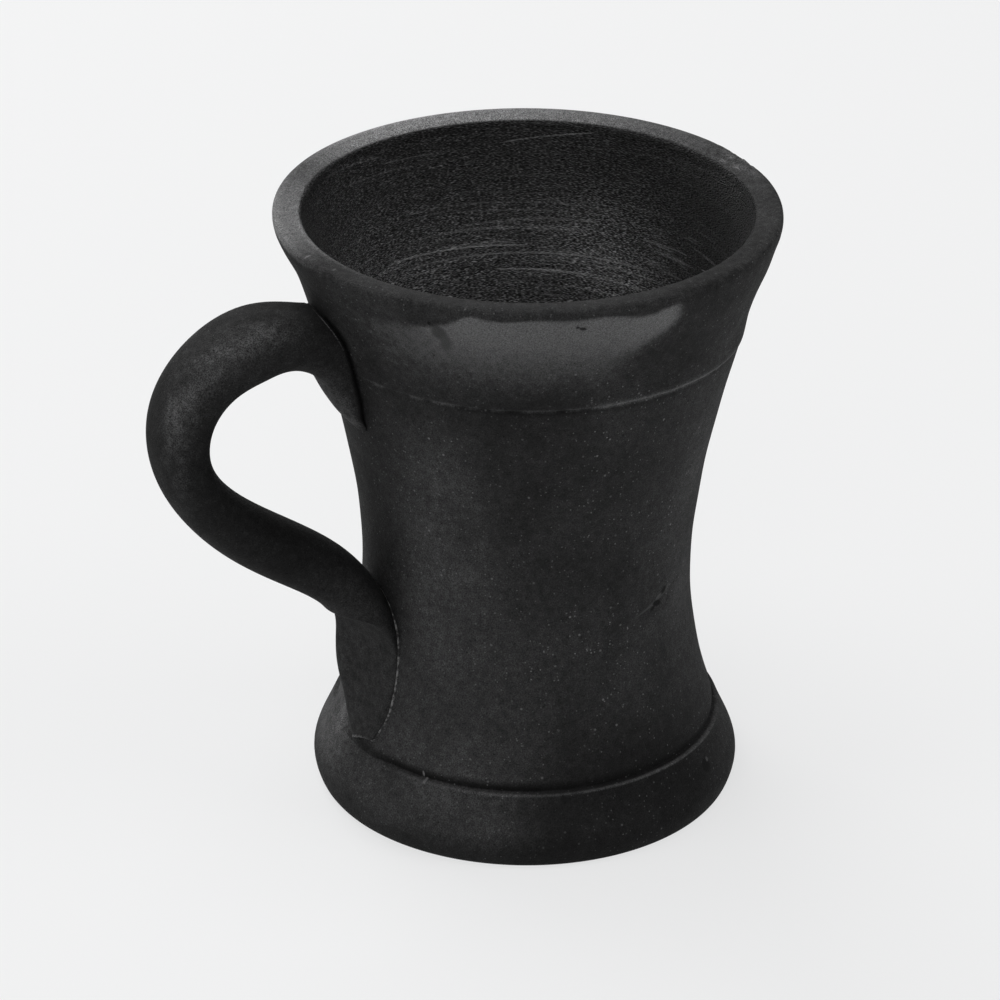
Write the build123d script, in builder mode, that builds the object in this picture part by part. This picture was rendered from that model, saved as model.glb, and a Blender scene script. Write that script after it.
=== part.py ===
from build123d import *
from math import cos, sin, tau
import os

# Waisted clay mug with one pulled handle, in millimetres.
# The origin is the middle of the base, +Z is up and the handle points along -X.

# Thrown body: outside
mug_height = 120.0
rim_radius = 47.4
lip_width = 5.2
lip_height = 2.7
lip_slope = 0.36
shoulder_radius = 39.9
shoulder_drop = 25.3
waist_radius = 31.6
waist_height = 46.0
foot_slope = -0.4
ledge_height = 14.2
ledge_radius = 38.0
ledge_depth = 0.8
ledge_rise = 0.3
foot_radius = 41.9
foot_belly_height = 4.4
foot_belly_round = 4.0
base_radius = 40.4
base_round = 1.2
incised_line_radius = 0.45

# Thrown body: inside
wall_thickness = 5.0
floor_thickness = 9.0
cove_radius = 12.0
floor_radius = 27.4

# Pulled handle: its middle line, from the root on the wall to the tip of the tail
root_sink = 5.0
root_drop = 2.1
neck_reach = 5.6
neck_rise = 5.4
crown_reach = 16.4
crown_rise = 6.5
bow_top_reach = 26.7
bow_top_rise = 0.2
bow_reach = 31.0
bow_drop = 11.2
heel_reach = 26.9
heel_drop = 22.6
arm_reach = 23.2
arm_rise = 14.7
elbow_reach = 9.2
elbow_rise = 4.0
tail_stand = 2.4
tail_drop = 11.0
press_stand = 2.5
press_drop = 20.0
press_drift = 0.8
tip_sink = 0.8
tip_rise = 1.8
tip_drift = 2.4

# Pulled handle: width across the strap and thickness in the plane of the bow
root_width = 17.5
root_thickness = 28.6
neck_width = 17.0
neck_thickness = 13.8
crown_width = 16.5
crown_thickness = 13.2
bow_width = 16.0
bow_thickness = 10.4
arm_width = 15.5
arm_thickness = 11.0
elbow_width = 16.5
elbow_thickness = 10.2
tail_width = 17.4
tail_thickness = 10.0
press_width = 13.5
press_thickness = 6.6
tip_width = 7.0
tip_thickness = 4.0
oval_points = 12

# Slip joints: a layer on the wall, keyed into crossed scratches
slip_thickness = 0.8
upper_slip_recess = 0.5
score_width = 0.8
score_depth = 0.5
score_pitch = 2.6
score_columns = 4
upper_score_rows = 6
lower_score_rows = 7
lower_score_drop = 14.0

# Heights and radii that follow from the sizes above
shoulder_height = mug_height - shoulder_drop
lip_base = mug_height - lip_height
lip_inner_radius = rim_radius - lip_width
wall_foot_radius = ledge_radius - ledge_depth
wall_foot_height = ledge_height + ledge_rise
cove_top = floor_thickness + cove_radius
foot_direction = (foot_slope, 1)
lip_direction = (lip_slope, 1)
down = (0, -1)


def wall_points(grow):
    """Points of the outer wall from the ledge up to the lip, moved outward by grow."""
    return [
        (wall_foot_radius + grow, wall_foot_height),
        (waist_radius + grow, waist_height),
        (shoulder_radius + grow, shoulder_height),
        (rim_radius + grow, lip_base),
    ]


def turned_wall(grow):
    """Full solid inside the outer wall, from the ledge to the lip, moved outward by grow."""
    with BuildPart() as turned:
        with BuildSketch(Plane.XZ):
            with BuildLine():
                wall = Spline(*wall_points(grow), tangents=(foot_direction, lip_direction))
                Polyline(wall @ 1, (0, lip_base), (0, wall_foot_height), wall @ 0)
            make_face()
        revolve(axis=Axis.Z)
    return turned.part


def handle_plane(reach, height, direction, drift=0.0):
    """Plane across the strap at a distance from the mug's axis, facing along the middle line."""
    return Plane(origin=(-reach, -drift, height), x_dir=(0, 1, 0), z_dir=direction)


def strap_section(plane, width, thickness):
    """Oval face across the strap, its outline started on the same side in every section."""
    turns = [tau * step / oval_points for step in range(oval_points)]
    with BuildSketch(plane) as section:
        with BuildLine():
            Spline(*[(width / 2 * cos(turn), thickness / 2 * sin(turn)) for turn in turns], periodic=True)
        make_face()
    return section.sketch.face()


def handle_form(inset):
    """The whole strap, run on into the wall at both ends, shrunk by inset all round."""
    middle = [
        (shoulder_radius + neck_reach, shoulder_height + neck_rise),
        (shoulder_radius + crown_reach, shoulder_height + crown_rise),
        (shoulder_radius + bow_top_reach, shoulder_height + bow_top_rise),
        (shoulder_radius + bow_reach, shoulder_height - bow_drop),
        (shoulder_radius + heel_reach, shoulder_height - heel_drop),
        (waist_radius + arm_reach, waist_height + arm_rise),
        (waist_radius + elbow_reach, waist_height + elbow_rise),
        (waist_radius + tail_stand, waist_height - tail_drop),
        (waist_radius + press_stand, waist_height - press_drop),
        (wall_foot_radius - tip_sink, wall_foot_height + tip_rise),
    ]
    sections = [
        (neck_width, neck_thickness),
        (crown_width, crown_thickness),
        (crown_width, crown_thickness),
        (bow_width, bow_thickness),
        (arm_width, arm_thickness),
        (arm_width, arm_thickness),
        (elbow_width, elbow_thickness),
        (tail_width, tail_thickness),
        (press_width, press_thickness),
        (tip_width, tip_thickness),
    ]
    drifts = [0.0] * (len(middle) - 2) + [press_drift, tip_drift]
    with BuildLine() as line:
        Spline(*[(-reach, 0, height) for reach, height in middle])
    path = line.edge()
    root = handle_plane(shoulder_radius - root_sink, shoulder_height - root_drop, (-1, 0, 0))
    faces = [strap_section(root, root_width - 2 * inset, root_thickness - 2 * inset)]
    for (reach, height), (width, thickness), drift in zip(middle, sections, drifts):
        plane = handle_plane(reach, height, path.tangent_at((-reach, 0, height)), drift)
        faces.append(strap_section(plane, width - 2 * inset, thickness - 2 * inset))
    with BuildPart() as form:
        loft(faces)
    return form.part


def scratches(rows, height):
    """Crossed scratches round a height on the handle's side of the wall, as thin blades."""
    across = score_columns * score_pitch
    upward = rows * score_pitch
    with BuildPart() as blades:
        with Locations((-shoulder_radius, 0, height)):
            with GridLocations(0, score_pitch, 1, score_columns):
                Box(shoulder_radius, score_width, upward)
        for row in range(rows):
            lift = (row - (rows - 1) / 2) * score_pitch
            with Locations((-shoulder_radius, 0, height + lift)):
                Box(shoulder_radius, across, score_width)
    return blades.part


outer_wall = turned_wall(0.0)
slip_face = turned_wall(slip_thickness)
scored_face = turned_wall(-score_depth)
full_strap = handle_form(0.0)
recessed_strap = handle_form(upper_slip_recess)
middle_height = (shoulder_height + waist_height) / 2

# Scratches that key the two joints
with BuildPart() as upper_key:
    add(scratches(upper_score_rows, shoulder_height - root_drop))
    add(outer_wall, mode=Mode.INTERSECT)
    add(scored_face, mode=Mode.SUBTRACT)

with BuildPart() as lower_key:
    add(scratches(lower_score_rows, waist_height - lower_score_drop))
    add(outer_wall, mode=Mode.INTERSECT)
    add(scored_face, mode=Mode.SUBTRACT)

# Thrown body: floor, foot band, waisted wall and rounded lip in one piece of clay
with BuildPart() as thrown_body:
    with BuildSketch(Plane.XZ) as half_section:
        with BuildLine():
            foot = FilletPolyline(
                (0, 0),
                (base_radius, 0),
                (foot_radius, foot_belly_height),
                (ledge_radius, ledge_height),
                radius=(base_round, foot_belly_round),
            )
            wall = Spline(*wall_points(0.0), tangents=(foot_direction, lip_direction))
            Line(foot @ 1, wall @ 0)
            lip = ThreePointArc(
                wall @ 1,
                (rim_radius - lip_width / 2, mug_height),
                (lip_inner_radius, lip_base),
            )
            inside = Spline(
                lip @ 1,
                (shoulder_radius - wall_thickness, shoulder_height),
                (waist_radius - wall_thickness, waist_height),
                (floor_radius, cove_top),
                tangents=((-lip_slope, -1), down),
            )
            cove = RadiusArc(inside @ 1, (floor_radius - cove_radius, floor_thickness), cove_radius)
            Polyline(cove @ 1, (0, floor_thickness), (0, 0))
        make_face()
    revolve(axis=Axis.Z)
    with BuildSketch(Plane.XZ) as incised_line:
        with Locations((shoulder_radius, shoulder_height)):
            Circle(incised_line_radius)
    revolve(axis=Axis.Z, mode=Mode.SUBTRACT)
    add(upper_key.part, mode=Mode.SUBTRACT)
    add(lower_key.part, mode=Mode.SUBTRACT)

# Pulled handle, cut to the face of the slip at both ends
with BuildPart() as handle:
    add(full_strap)
    add(slip_face, mode=Mode.SUBTRACT)

# Slip under the handle's root, set back from its edge
with BuildPart() as upper_slip:
    add(recessed_strap)
    add(slip_face, mode=Mode.INTERSECT)
    add(outer_wall, mode=Mode.SUBTRACT)
    split(bisect_by=Plane.XY.offset(middle_height), keep=Keep.TOP)
    add(upper_key.part)

# Slip under the pressed tail, flush with its edge
with BuildPart() as lower_slip:
    add(full_strap)
    add(slip_face, mode=Mode.INTERSECT)
    add(outer_wall, mode=Mode.SUBTRACT)
    split(bisect_by=Plane.XY.offset(middle_height), keep=Keep.BOTTOM)
    add(lower_key.part)

os.makedirs("parts", exist_ok=True)
for name, piece in {
    "thrown_body": thrown_body,
    "handle": handle,
    "upper_slip": upper_slip,
    "lower_slip": lower_slip,
}.items():
    piece.part.label = name
    export_step(piece.part, f"parts/{name}.step")
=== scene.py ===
"""Dresses the waisted black clay mug: its thrown body, pulled handle and two slip joints."""
import logging
import math
from dataclasses import dataclass, field
from enum import Enum
from typing import Callable, Sequence

import bpy
import bmesh
import numpy as np
from mathutils import Matrix, Vector


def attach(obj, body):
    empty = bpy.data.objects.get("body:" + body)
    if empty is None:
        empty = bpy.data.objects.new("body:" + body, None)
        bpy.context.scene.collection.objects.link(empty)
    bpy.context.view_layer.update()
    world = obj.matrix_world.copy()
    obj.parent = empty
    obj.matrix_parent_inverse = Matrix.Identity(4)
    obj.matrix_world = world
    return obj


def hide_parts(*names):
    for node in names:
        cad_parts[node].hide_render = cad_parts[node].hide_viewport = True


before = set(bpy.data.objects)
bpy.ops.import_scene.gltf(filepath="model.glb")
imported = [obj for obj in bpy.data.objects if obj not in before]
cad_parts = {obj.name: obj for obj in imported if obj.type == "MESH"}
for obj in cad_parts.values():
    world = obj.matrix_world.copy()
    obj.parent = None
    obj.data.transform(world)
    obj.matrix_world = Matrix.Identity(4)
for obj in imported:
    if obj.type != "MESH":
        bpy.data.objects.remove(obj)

LOG = logging.getLogger("mug")
MM = 0.001
LIP_RADIUS_MM = 44.57
HANDLE_BEARING = 180.0
Array = np.ndarray
Socket = bpy.types.NodeSocket
Thing = bpy.types.Object
Material = bpy.types.Material
Faces = list[tuple[int, ...]]
Pair = tuple[float, float]
Run = tuple[float, float, int]
Step = tuple[float, float, float, float]


def smooth(low: Array | float, high: Array | float, value: Array | float) -> Array:
    """Eases from 0 at low to 1 at high, which may be below low for a falling step."""
    share = np.clip((np.asarray(value, float) - low) / (high - low), 0.0, 1.0)
    return share * share * (3.0 - 2.0 * share)


def span(rise: Pair, fall: Pair, value: Array) -> Array:
    """Eases from 0 to 1 over the first range and back to 0 over the second."""
    return smooth(*rise, value) * smooth(fall[1], fall[0], value)


def vary(share: float, value: Array) -> Array:
    """Lets one share of a whole follow a value, and keeps the rest."""
    return 1.0 - share + share * value


def turn_from(degrees: float, theta: Array) -> Array:
    """Gives the signed angle in degrees from a bearing to each theta in radians."""
    return (np.degrees(theta) - degrees + 180.0) % 360.0 - 180.0


def compass(theta: Array) -> Array:
    """Turns angles in radians into bearings from 0 to 360 degrees."""
    return np.degrees(theta) % 360.0


def bearings(columns: int) -> Array:
    """Spreads bearings in radians evenly round a full turn."""
    return np.arange(columns) * math.tau / columns


def bell(offset: Array, half_width: float) -> Array:
    """Gives a soft hill of height 1 that falls off over half_width."""
    return np.exp(-0.5 * (np.asarray(offset, float) / (0.5 * half_width)) ** 2)


def facing(bearing: float, width: float, theta: Array) -> Array:
    """Gives a soft hill of height 1 round one bearing, both in degrees."""
    return bell(turn_from(bearing, theta), width)


def curve_through(
    knots: Sequence[float],
    values: Sequence[float] | Array,
    slopes: Pair | None = None,
) -> Callable[[Array], Array]:
    """Makes a cubic spline through a few points.

    Args:
        knots: Rising places of the points.
        values: One number, or one row of numbers, at each place.
        slopes: Slopes at both ends, or None for ends that run straight on.

    Returns:
        A function from places to values.
    """
    x, y = np.asarray(knots, float), np.asarray(values, float)
    y = y.reshape(len(x), -1)
    gap = np.diff(x)
    rise = np.diff(y, axis=0) / gap[:, None]
    matrix, right = np.zeros((len(x), len(x))), np.zeros_like(y)
    for row in range(1, len(x) - 1):
        matrix[row, row - 1:row + 2] = gap[row], 2 * (gap[row - 1] + gap[row]), gap[row - 1]
        right[row] = 3 * (gap[row] * rise[row - 1] + gap[row - 1] * rise[row])
    if slopes is None:
        matrix[0, :2], right[0] = (2, 1), 3 * rise[0]
        matrix[-1, -2:], right[-1] = (1, 2), 3 * rise[-1]
    else:
        matrix[0, 0] = matrix[-1, -1] = 1
        right[0], right[-1] = slopes
    lean = np.linalg.solve(matrix, right)

    def at(place: Array) -> Array:
        """Evaluates the spline at places inside or just outside its ends.

        Args:
            place: The places.

        Returns:
            One value, or one row of values, for each place.
        """
        flat = np.asarray(place, float)
        part = np.clip(np.searchsorted(x, flat) - 1, 0, len(gap) - 1)
        step = gap[part][..., None]
        share = ((flat - x[part]) / gap[part])[..., None]
        left = 1 - share
        result = (
            y[part] * left * left * (1 + 2 * share)
            + y[part + 1] * share * share * (3 - 2 * share)
            + lean[part] * step * share * left * left
            - lean[part + 1] * step * share * share * left
        )
        return result[..., 0] if y.shape[1] == 1 else result

    return at


@dataclass(frozen=True)
class Wander:
    """Smooth hand-made unevenness round and up the clay, the same on every run."""

    seed: int
    turns: int
    length_mm: float
    waves: int = 14
    slowest: float = 0.25

    def at(self, theta: Array, place_mm: Array) -> Array:
        """Gives the unevenness, about -1 to 1.

        Args:
            theta: Bearings in radians.
            place_mm: Distances along the clay in millimetres.

        Returns:
            Numbers in the broadcast shape of both.
        """
        draw = np.random.default_rng(self.seed)
        total = np.zeros(np.broadcast(theta, place_mm).shape)
        for _ in range(self.waves):
            around = draw.integers(0, self.turns + 1)
            along = draw.uniform(self.slowest, 1.0) * math.tau / self.length_mm
            phase, other = draw.uniform(0, math.tau, 2)
            total = total + np.cos(around * theta + phase) * np.cos(along * place_mm + other)
        return total / math.sqrt(self.waves)


def put_in_scene(name: str, data: bpy.types.ID) -> Thing:
    """Makes an object of a mesh, lamp or camera.

    Args:
        name: The object's name.
        data: What it shows.

    Returns:
        The object, linked to the scene.
    """
    thing = bpy.data.objects.new(name, data)
    bpy.context.scene.collection.objects.link(thing)
    return thing


def mesh_object(name: str, points_mm: Array, faces: Faces) -> Thing:
    """Makes a closed smooth-shaded mesh object.

    Args:
        name: The piece's name.
        points_mm: Vertices in millimetres.
        faces: Vertex indices of each face.

    Returns:
        The object, linked to the scene.
    """
    mesh = bpy.data.meshes.new(name)
    mesh.from_pydata((points_mm * MM).tolist(), [], faces)
    work = bmesh.new()
    work.from_mesh(mesh)
    bmesh.ops.recalc_face_normals(work, faces=work.faces)
    work.to_mesh(mesh)
    work.free()
    mesh.shade_smooth()
    return put_in_scene(name, mesh)


def tube_faces(rows: int, columns: int, start: int = 0) -> Faces:
    """Gives the quads of a tube whose rings follow each other in the vertex list.

    Args:
        rows: Number of rings.
        columns: Vertices in a ring.
        start: Index of the first ring's first vertex.

    Returns:
        The quads' vertex indices.
    """
    quads = []
    for row in range(rows - 1):
        low, high = start + row * columns, start + (row + 1) * columns
        for column in range(columns):
            after = (column + 1) % columns
            quads.append((low + column, low + after, high + after, high + column))
    return quads


def fan_faces(start: int, columns: int, middle: int) -> Faces:
    """Gives the triangles that close a ring onto one middle vertex."""
    return [(start + column, start + (column + 1) % columns, middle) for column in range(columns)]


def mark_vertices(piece: Thing, **masks: Array) -> None:
    """Stores one number per vertex under each name, for the finish to read.

    Args:
        piece: The mesh object.
        masks: Numbers in vertex order, by name.
    """
    for name, values in masks.items():
        layer = piece.data.attributes.new(name, "FLOAT", "POINT")
        layer.data.foreach_set("value", np.asarray(values, np.float32).ravel())


class Graph:
    """Short hand for wiring the nodes of a material or a world."""

    def __init__(self, tree: bpy.types.NodeTree) -> None:
        """Starts on an empty tree."""
        self.tree = tree
        tree.nodes.clear()

    def node(self, kind: str, inputs: dict | None = None, **settings: object) -> bpy.types.Node:
        """Adds one node.

        Args:
            kind: Blender's name of the node type, without the words that all of them share.
            inputs: Values or sockets, by the input's name or number.
            settings: Properties of the node.

        Returns:
            The new node.
        """
        made = self.tree.nodes.new(f"ShaderNode{kind}")
        for key, value in settings.items():
            setattr(made, key, value)
        for key, value in (inputs or {}).items():
            if isinstance(value, bpy.types.NodeSocket):
                self.tree.links.new(value, made.inputs[key])
            else:
                made.inputs[key].default_value = value
        return made

    def sum(self, how: str, first: Socket | float, second: Socket | float = 0.0) -> Socket:
        """Does one sum on two numbers and gives its result."""
        return self.node("Math", {0: first, 1: second}, operation=how).outputs[0]

    def plus(self, first: Socket | float, second: Socket | float) -> Socket:
        """Adds two numbers."""
        return self.sum("ADD", first, second)

    def times(self, first: Socket | float, *others: Socket | float) -> Socket:
        """Multiplies two or more numbers.

        Args:
            first: The first number.
            others: The numbers that it is multiplied by, in order.

        Returns:
            The product.
        """
        product = first
        for other in others:
            product = self.sum("MULTIPLY", product, other)
        return product

    def sway(self, noise: Socket, strength: float) -> Socket:
        """Turns noise round one half into noise round 0."""
        return self.times(self.sum("SUBTRACT", noise, 0.5), strength)

    def step(
        self, value: Socket, low: float, high: float, before: float = 0.0, after: float = 1.0
    ) -> Socket:
        """Eases a number from one level before low to another after high."""
        inputs = {0: value, 1: low, 2: high, 3: before, 4: after}
        return self.node("MapRange", inputs, interpolation_type="SMOOTHSTEP").outputs[0]

    def level(self, value: Socket, low: float, high: float, before: float, after: float) -> Socket:
        """Carries a number over in a straight line from one range to another."""
        return self.node("MapRange", {0: value, 1: low, 2: high, 3: before, 4: after}).outputs[0]

    def lerp(self, share: Socket | float, first: Socket | float, second: Socket | float) -> Socket:
        """Mixes two numbers by a share from 0 to 1."""
        return self.node("Mix", {0: share, 2: first, 3: second}, data_type="FLOAT").outputs[0]

    def blend(self, share: Socket | float, first: Socket | tuple, second: Socket | tuple) -> Socket:
        """Mixes two colours by a share from 0 to 1."""
        return self.node("Mix", {"Factor": share, 6: first, 7: second}, data_type="RGBA").outputs[2]

    def tint(self, level: Socket, cool: float = 1.012) -> Socket:
        """Turns a grey level into a colour with a trace of blue."""
        inputs = {0: (1.0, 1.0, cool), "Scale": level}
        return self.node("VectorMath", inputs, operation="SCALE").outputs[0]

    def along(self, where: Socket, way: Vector) -> Socket:
        """Gives how far a place lies along a direction."""
        return self.node("VectorMath", {0: where, 1: way}, operation="DOT_PRODUCT").outputs["Value"]

    def flattened(self, where: Socket, share: float) -> Socket:
        """Squeezes heights, so that noise runs round the cup as the potter's fingers did."""
        return self.node("VectorMath", {0: where, 1: (1, 1, share)}, operation="MULTIPLY").outputs[0]

    def grain(self, where: Socket, size_mm: float, detail: float = 2.0, roughness: float = 0.5) -> Socket:
        """Gives noise round one half, with lumps of about one size and finer layers over them."""
        inputs = {"Vector": where, "Scale": 1 / (size_mm * MM), "Detail": detail, "Roughness": roughness}
        return self.node("TexNoise", inputs).outputs["Fac"]

    def mask(self, name: str) -> Socket:
        """Reads a number that was stored on the vertices."""
        return self.node("Attribute", attribute_name=name).outputs["Fac"]

    def bump(self, height: Socket) -> Socket:
        """Turns heights in millimetres into a surface that catches the light."""
        return self.node("Bump", {"Height": height, "Distance": MM, "Strength": 1.0}).outputs[0]

    def show(self, shader: bpy.types.Node) -> None:
        """Makes a shader the material's surface."""
        self.node("OutputMaterial", {"Surface": shader.outputs[0]})


def new_material(name: str) -> tuple[Material, Graph]:
    """Starts a material.

    Args:
        name: The material's name.

    Returns:
        The material and its empty graph.
    """
    material = bpy.data.materials.new(name)
    material.use_nodes = True
    return material, Graph(material.node_tree)


def grey(level: float, warmth: float = 0.0) -> tuple[float, float, float, float]:
    """Gives a grey of one level, slightly warm or cool."""
    return (level * (1 + warmth), level, level * (1 - warmth), 1.0)


@dataclass(frozen=True)
class Mark:
    """One small mark of use on the clay: an oval patch that is paler or darker. Sizes in millimetres."""

    bearing: float
    radius: float
    height: float
    along: float
    across: float
    tilt: float
    level: float
    reach: float = 5.0
    core: float = 0.45

    def share(self, graph: Graph, where: Socket) -> Socket:
        """Gives 1 in the middle of the mark and 0 outside it.

        Args:
            graph: The material's graph.
            where: The place on the clay, in metres.

        Returns:
            The mark's share.
        """
        turn = math.radians(self.bearing)
        middle = Vector((self.radius * math.cos(turn), self.radius * math.sin(turn), self.height))
        placed = {
            "Vector": where,
            "Location": middle * MM,
            "Rotation": (math.radians(self.tilt), 0.0, turn),
            "Scale": Vector((self.reach, self.along, self.across)) * MM,
        }
        local = graph.node("Mapping", placed, vector_type="TEXTURE").outputs[0]
        size = graph.node("VectorMath", {0: local}, operation="LENGTH").outputs["Value"]
        return graph.step(size, 1.0, self.core)


@dataclass(frozen=True)
class RingArc:
    """One fine ridge that a finger drew round the cup, with a painted highlight along its crest.

    Turns are in degrees from the far side, heights in millimetres.
    """

    start: float
    end: float
    height: float
    climb: float
    strength: float
    thick: float = 0.24
    crest: float = 0.3
    taper: float = 0.8

    def share(self, graph: Graph, turn: Socket, rise: Socket) -> Socket:
        """Gives the ridge's strength on its line and 0 beside it.

        Args:
            graph: The material's graph.
            turn: Turn from the far side, in radians.
            rise: Height in metres.

        Returns:
            The ridge's share.
        """
        middle = math.radians((self.start + self.end) / 2)
        half = math.radians(abs(self.start - self.end) / 2)
        thick = self.thick * MM
        offset = graph.sum("SUBTRACT", turn, middle)
        line = graph.plus(graph.times(offset, self.climb * MM / (2 * half)), self.height * MM)
        away = graph.sum("ABSOLUTE", graph.sum("SUBTRACT", rise, line))
        across = graph.step(away, thick, thick * self.crest)
        along = graph.step(graph.sum("ABSOLUTE", offset), half, half * self.taper)
        return graph.times(across, along, self.strength)


@dataclass(frozen=True)
class Spots:
    """Small spots scattered over the clay, some strong and some faint.

    Their size is a share of the spacing, and empty is the share of places without a spot.
    """

    spacing_mm: float
    size: float
    empty: float
    core: float = 0.35

    def share(self, graph: Graph, where: Socket) -> Socket:
        """Gives 1 in the middle of the strongest spots and 0 between them.

        Args:
            graph: The material's graph.
            where: The place on the clay, in metres.

        Returns:
            The spots' share.
        """
        cells = graph.node("TexVoronoi", {"Vector": where, "Scale": 1 / (self.spacing_mm * MM)})
        draw = graph.node("SeparateColor", {0: cells.outputs["Color"]}).outputs[0]
        spot = graph.step(cells.outputs["Distance"], self.size, self.size * self.core)
        return graph.times(spot, graph.step(draw, self.empty, 1.0))


@dataclass(frozen=True)
class ClayFace:
    """What the parts of the clay's finish share: the place, the masks and the grains."""

    where: Socket
    rise: Socket
    inside: Socket
    # Below: burnish that also sets a painted sheen, wear that also carries painted highlights and glints,
    # and a tone that carries painted light and shade.
    rubbed: Socket
    worn: Socket
    smoke: Socket
    mottle: Socket
    fine: Socket
    comb: Socket


@dataclass(frozen=True)
class BlackClay:
    """Smoke-blackened, unglazed clay: matt and grainy, satin where it was burnished, paler there by a
    painted sheen.

    Sizes are in millimetres. A Step is where it starts and ends, and the levels before and after it;
    where it goes by height, it starts and ends in metres.
    """

    name: str = "blackened_clay"
    usual: float = 0.0235
    cup_level: float = 0.038
    # Painted sheen: burnished places take this paler grey in place of their reflection.
    rubbed_level: float = 0.135
    # Grey of bare clay where worn, also used for painted highlights on lip, handle and foot.
    worn_level: float = 0.23
    speck_level: float = 0.2
    pit_level: float = 0.002
    # Painted highlight: grey of the ridges' crests in the cup.
    ridge_highlight_level: float = 0.42
    rub_cover: float = 0.75
    pit_cover: float = 0.8
    ridge_cover: float = 0.9
    cup_calm: float = 0.7
    rub_ragged: float = 0.4
    matt: float = 0.84
    satin: float = 0.38
    cup_rough: float = 0.46
    gloss_mm: float = 3.1
    gloss_sway: float = 0.22
    shine: float = 0.16
    blotch_mm: float = 21.0
    mottle_mm: float = 1.4
    grain_mm: float = 0.24
    comb_mm: float = 0.6
    comb_flat: float = 4.6
    plain_below_mm: float = 24.0
    faint_ring_mm: float = 16.0
    faint_ring_flat: float = 30.0
    far_side: float = 63.0
    grain_height: float = 0.2
    rubbed_height: float = 0.14
    pit_depth: float = 0.1
    comb_height: float = 0.9
    ridge_height: float = 0.2
    blotch_tone: Step = (0.32, 0.68, 0.58, 1.42)
    mottle_tone: Step = (0.3, 0.7, 0.7, 1.3)
    grain_tone: Step = (0.3, 0.7, 0.42, 1.58)
    satin_tone: Step = (0.3, 0.7, 0.5, 1.5)
    bare_tone: Step = (0.34, 0.66, 0.15, 1.85)
    wear_break: Step = (0.34, 0.66, 0.55, 1.0)
    grit_patches: Step = (0.38, 0.6, 0.4, 1.0)
    # Painted light: the cup grows paler towards its floor.
    painted_depth_light: Step = (116 * MM, 84 * MM, 0.5, 1.5)
    comb_slope: Step = (0.32, 0.52, 0.1, 0.9)
    comb_crest: Step = (0.56, 0.72, 0.0, 3.0)
    faint_edge: Pair = (0.54, 0.68)
    faint_zone: Step = (107 * MM, 99 * MM, 0.04, 0.2)
    ridge_break: Step = (0.34, 0.5, 0.6, 1.0)
    pits: Spots = Spots(1.3, 0.18, 0.3)
    specks: tuple = (Spots(0.8, 0.26, 0.42), Spots(2.2, 0.15, 0.5))
    arcs: tuple = (
        RingArc(50, 0, 95.8, 0.9, 0.7),
        RingArc(48, -46, 94, 0, 0.42, 0.3),
        RingArc(12, -22, 90.8, 0.5, 0.75),
        RingArc(30, -16, 98.8, 0.4, 0.25, 0.4),
        RingArc(22, -22, 100.3, -1.1, 0.22, 0.35),
        RingArc(8, -19, 115.9, -2.6, 0.28, 0.2),
        RingArc(68, 42, 116.1, 1, 0.2, 0.2),
        RingArc(44, 26, 114.1, 0.4, 0.2, 0.2),
        RingArc(58, 34, 112.8, 0.6, 0.15, 0.2),
        RingArc(40, -30, 103.6, 0.8, 0.12, 0.3),
        RingArc(-16, -48, 92.6, -0.3, 0.3),
        RingArc(-20, -50, 90.2, 0.4, 0.4),
    )
    marks: tuple = (
        Mark(211.6, 37.2, 14.8, 0.3, 0.8, 8, 0.16),
        Mark(213, 37.8, 13.9, 0.34, 0.48, 40, 0.13),
        Mark(292, 31.9, 45.9, 6.2, 0.34, 13, 0.055),
        Mark(298, 31.9, 47.7, 1.2, 1.1, 30, 0.001),
        Mark(294.6, 31.9, 45.6, 1.7, 0.8, -12, 0.003),
        Mark(292, 31.9, 45, 1, 0.5, 20, 0.005),
        Mark(295.6, 31.9, 46.8, 1.4, 0.36, 20, 0.07),
        Mark(300.4, 31.9, 47.7, 0.5, 1.2, -10, 0.06),
        Mark(255, 45.6, 113.6, 1, 0.5, -14, 0.002),
        Mark(253.8, 45.6, 114, 0.5, 0.4, 10, 0.003),
        Mark(221, 45.6, 113.4, 0.5, 0.6, 0, 0.003),
        Mark(223, 45, 111.4, 2, 2.4, 20, 0.035),
        Mark(224, 45, 109, 1.4, 2.6, -10, 0.045),
        Mark(194, 45.8, 117.4, 0.8, 0.6, 0, 0.25, 1),
        Mark(196.6, 45.9, 117.4, 0.5, 0.4, 0, 0.2, 1),
        Mark(184.5, 46.3, 117.6, 0.4, 0.7, 0, 0.2, 1),
        Mark(304.6, 39.7, 10, 1.9, 1.9, 0, 0.004),
        Mark(306.2, 39.6, 10.6, 0.5, 0.6, 0, 0.07),
    )

    def make(self) -> Material:
        """Builds the material.

        Returns:
            The finished material.
        """
        material, graph = new_material(self.name)
        face = self.read(graph)
        combed = graph.step(face.rise, self.plain_below_mm * MM, 2 * self.plain_below_mm * MM)
        ridge = graph.times(self.ring_marks(graph, face), face.inside)
        pit = self.pits.share(graph, face.where)
        cup = self.cup_tone(graph, face, combed, ridge)
        level = graph.lerp(face.inside, self.outer_tone(graph, face), cup)
        inputs = {
            "Base Color": graph.tint(self.flecked(graph, face, level, pit)),
            "Roughness": self.gloss(graph, face),
            "Normal": graph.bump(self.relief(graph, face, combed, ridge, pit)),
            "Specular IOR Level": self.shine,
        }
        graph.show(graph.node("BsdfPrincipled", inputs))
        return material

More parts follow.
